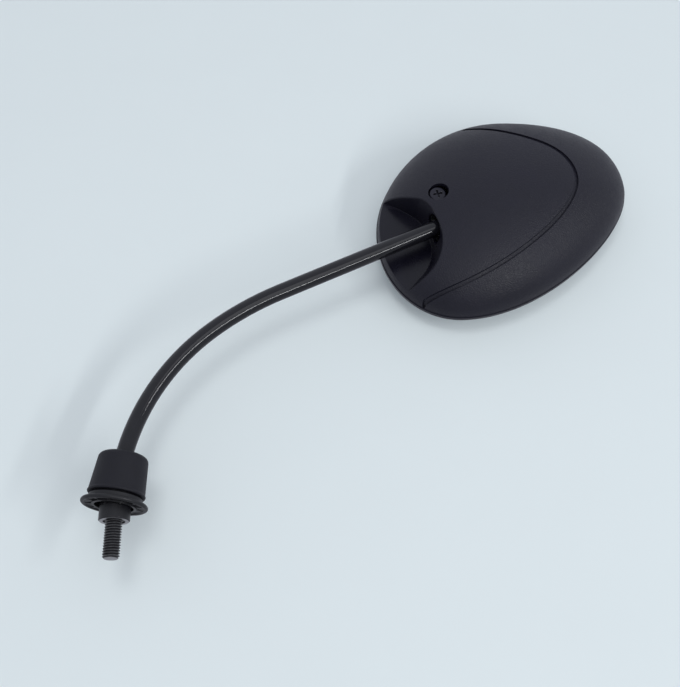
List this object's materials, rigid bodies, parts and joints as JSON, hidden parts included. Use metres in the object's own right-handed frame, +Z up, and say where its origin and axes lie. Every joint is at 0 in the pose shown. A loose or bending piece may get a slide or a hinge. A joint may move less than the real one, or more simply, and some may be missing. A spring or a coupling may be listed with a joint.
{
  "type": "scooter mirror",
  "caption": "Egg-shaped convex rear-view mirror on a ball joint, with a bent round stem, rubber boot and threaded stud foot.",
  "frame": {"origin": "on the stud's axis, in the plane where the lock nut seats on its bracket", "axes": "+Z up along the stud towards the stem; +X the way the stem leans and reaches to the head; the head's moulded back faces -Y and its glass +Y"},
  "size_m": [0.2905, 0.0348, 0.2573],
  "materials": {
    "black_stem": "gloss",
    "bare_steel": "satin",
    "zinc_steel": "satin",
    "black_steel": "satin",
    "boot_rubber": "matte",
    "shell_plastic": "fine grain",
    "liner_plastic": "smooth",
    "foam": "matte",
    "mirror": "polished"
  },
  "bodies": {
    "stem": {"stem": "black_stem", "stem_ball": "bare_steel"},
    "lock_nut": {"lock_nut": "black_steel"},
    "boot": {"dust_boot": "boot_rubber", "base_ring": "shell_plastic"},
    "liner_rear": {"liner_rear": "liner_plastic"},
    "liner_front": {"liner_front": "liner_plastic"},
    "head": {"back_shell": "shell_plastic", "glass_bezel": "shell_plastic", "mirror_glass": "mirror", "foam_pad": "foam", "clamp_plate": "zinc_steel", "clamp_screw": "black_steel", "screw_washer": "black_steel", "square_nut": "zinc_steel", "tapping_screws": "zinc_steel"}
  },
  "joints": [
    {"name": "nut_turn", "type": "hinge", "parent": "stem", "child": "lock_nut", "pos_m": [0, 0, 0], "axis": [0, 0, 1], "range_deg": [-60, 60]},
    {"name": "boot_slide", "type": "hinge", "parent": "stem", "child": "boot", "pos_m": [0.114, 0, 0.011], "axis": [0, 1, 0], "range_deg": [0, 8]},
    {"name": "head_roll", "type": "hinge", "parent": "stem", "child": "liner_rear", "pos_m": [0.17227, 0, 0.16403], "axis": [0.9114, 0, 0.4115], "range_deg": [-25, 25]},
    {"name": "head_swing", "type": "hinge", "parent": "liner_rear", "child": "liner_front", "pos_m": [0.17227, 0, 0.16403], "axis": [0, 1, 0], "range_deg": [-10, 10]},
    {"name": "head_tilt", "type": "hinge", "parent": "liner_front", "child": "head", "pos_m": [0.17227, 0, 0.16403], "axis": [-0.4115, 0, 0.9114], "range_deg": [-6, 6]}
  ]
}
